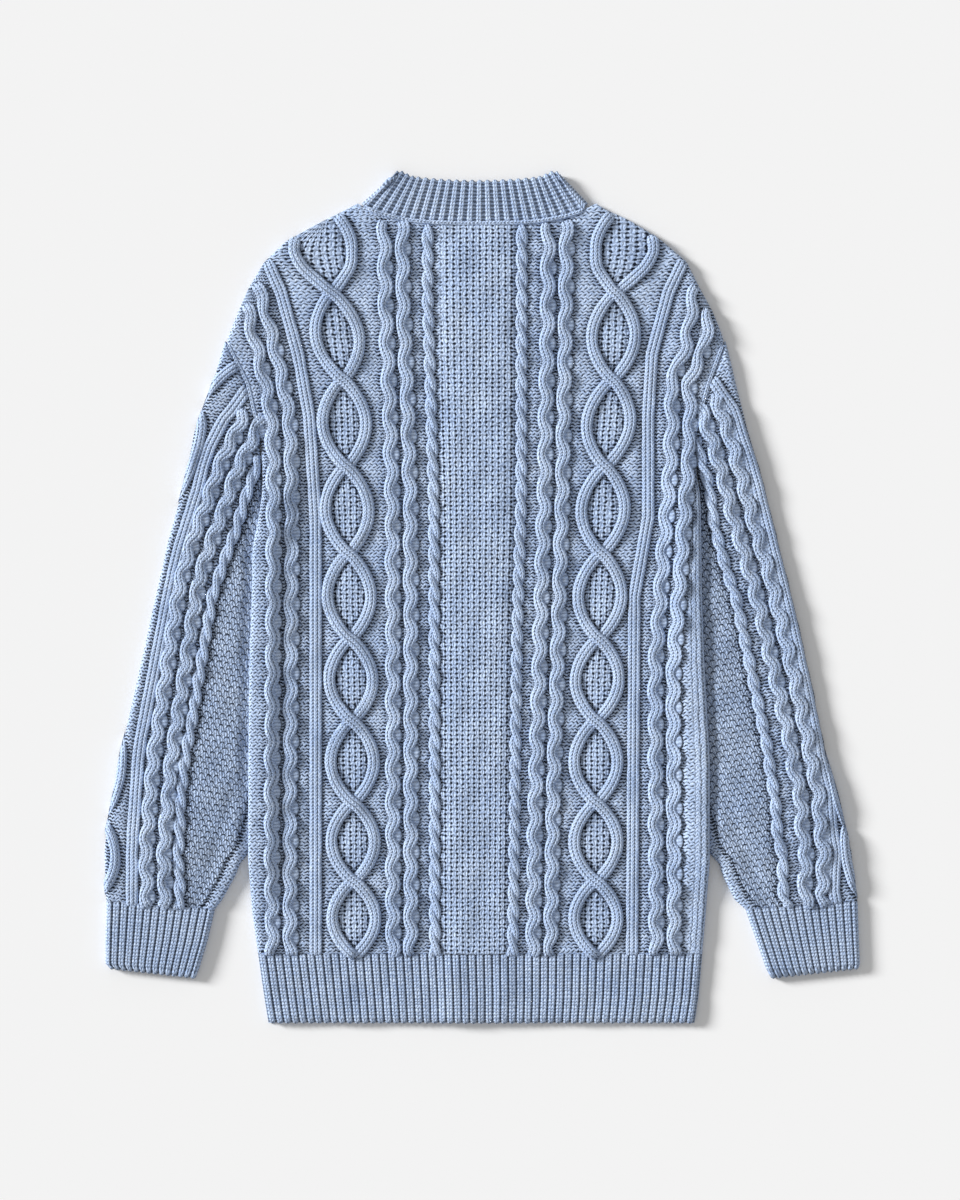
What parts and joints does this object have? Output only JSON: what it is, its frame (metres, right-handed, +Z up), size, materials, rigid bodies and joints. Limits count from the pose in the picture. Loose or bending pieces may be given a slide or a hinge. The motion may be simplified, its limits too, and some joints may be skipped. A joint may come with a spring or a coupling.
{
  "type": "cable knit cardigan",
  "caption": "Long-sleeved cable knit cardigan laid flat with its back up, with wave and lattice cables, a ribbed collar, hem and cuffs, and a lapped front with buttons.",
  "frame": {"origin": "under the middle of the garment's outline, on the surface that it lies on", "axes": "+Z up from the surface, +Y from the hem towards the neck, +X towards the sleeve on the right of the picture, which is the wearer's right sleeve"},
  "size_m": [0.6275, 0.7076, 0.0141],
  "materials": {
    "cable_knit": "heathered light blue cotton yarn, matt",
    "rib_knit": "heathered light blue cotton yarn in rib, matt",
    "button": "satin"
  },
  "bodies": {
    "root": {"back": "cable_knit", "front_left": "cable_knit", "front_right": "cable_knit", "sleeve_left": "cable_knit", "sleeve_right": "cable_knit", "collar": "rib_knit", "hem_back": "rib_knit", "hem_front_left": "rib_knit", "hem_front_right": "rib_knit", "cuff_left": "rib_knit", "cuff_right": "rib_knit", "band_left": "rib_knit", "band_right": "rib_knit", "button_1": "button", "button_2": "button", "button_3": "button", "button_4": "button", "button_5": "button", "button_6": "button"}
  },
  "joints": []
}
